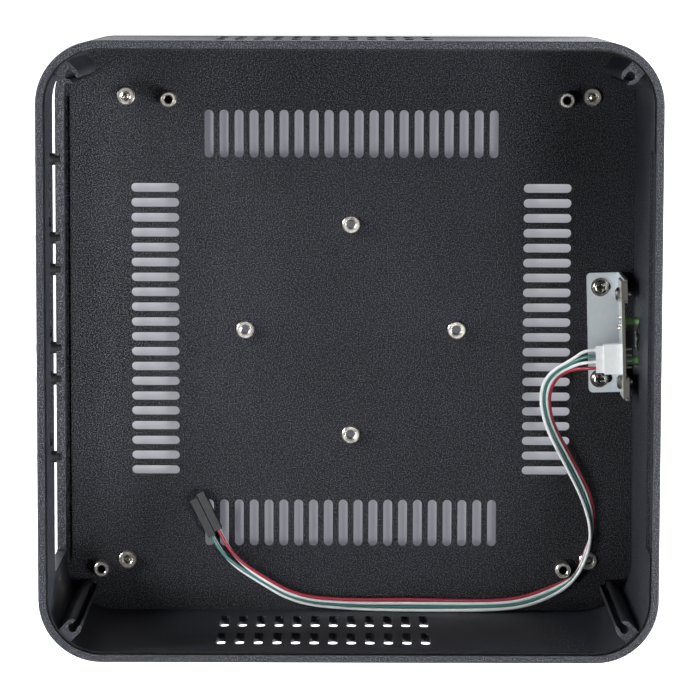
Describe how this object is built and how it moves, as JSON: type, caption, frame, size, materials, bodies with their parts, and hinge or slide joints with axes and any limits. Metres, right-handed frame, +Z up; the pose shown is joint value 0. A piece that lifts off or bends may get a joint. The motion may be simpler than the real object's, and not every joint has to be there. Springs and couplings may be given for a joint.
{
  "type": "computer case",
  "caption": "Open mini-ITX computer case: dark frame with rounded corners, slotted floor plate, board standoffs, power switch bracket and its wired leads.",
  "frame": {"origin": "middle of the case at the level of the desk under its feet", "axes": "+X across the case, +Y from the power button to the rear connector opening, +Z up out of the open top"},
  "size_m": [0.196, 0.1992, 0.086],
  "materials": {
    "frame_coat": "powder coated, satin dark grey",
    "plate_coat": "fine sand powder coat, charcoal",
    "nickel": "nickel plated",
    "black_screw": "black oxide",
    "foot_rubber": "matt",
    "zinc": "zinc plated sheet",
    "board_green": "solder mask",
    "black_plastic": "moulded",
    "bright_steel": "tinned",
    "button_black": "satin",
    "lamp_green": "clear green resin",
    "white_plastic": "moulded",
    "solder": "bright solder",
    "gold": "plated",
    "wire_white": "smooth",
    "wire_green": "smooth",
    "wire_red": "smooth"
  },
  "bodies": {
    "case": {"frame_ring": "frame_coat", "base_plate": "plate_coat", "foot_nuts": "nickel", "centre_nuts": "nickel", "board_standoffs": "nickel", "base_screws": "black_screw", "foot_front_left": "foot_rubber", "foot_rear_left": "foot_rubber", "foot_front_right": "foot_rubber", "foot_rear_right": "foot_rubber", "foot_screws": "nickel", "port_cover_1": "plate_coat", "port_cover_2": "plate_coat", "port_cover_3": "plate_coat", "port_screws": "black_screw", "port_nuts": "black_screw", "switch_bracket": "zinc", "bracket_washers": "nickel", "bracket_screws": "nickel", "switch_board": "board_green", "board_screws": "nickel", "switch_body": "black_plastic", "switch_plate": "bright_steel", "power_lamp": "lamp_green", "drive_lamp": "lamp_green", "board_header": "white_plastic", "header_pins": "gold", "lamp_legs": "nickel", "switch_legs": "nickel", "solder_joints": "solder", "cable_plug": "white_plastic", "lead_housing_a": "black_plastic", "lead_housing_b": "black_plastic", "wire_white_outer": "wire_white", "wire_green": "wire_green", "wire_white_inner": "wire_white", "wire_red": "wire_red"},
    "button": {"power_button": "button_black", "switch_stem": "black_plastic"}
  },
  "joints": [
    {"name": "button_travel", "type": "slide", "parent": "case", "child": "button", "axis": [0, 1, 0], "range_m": [0, 0.0003], "stiffness_N_per_m": 3000, "springref_m": -0.0001}
  ]
}
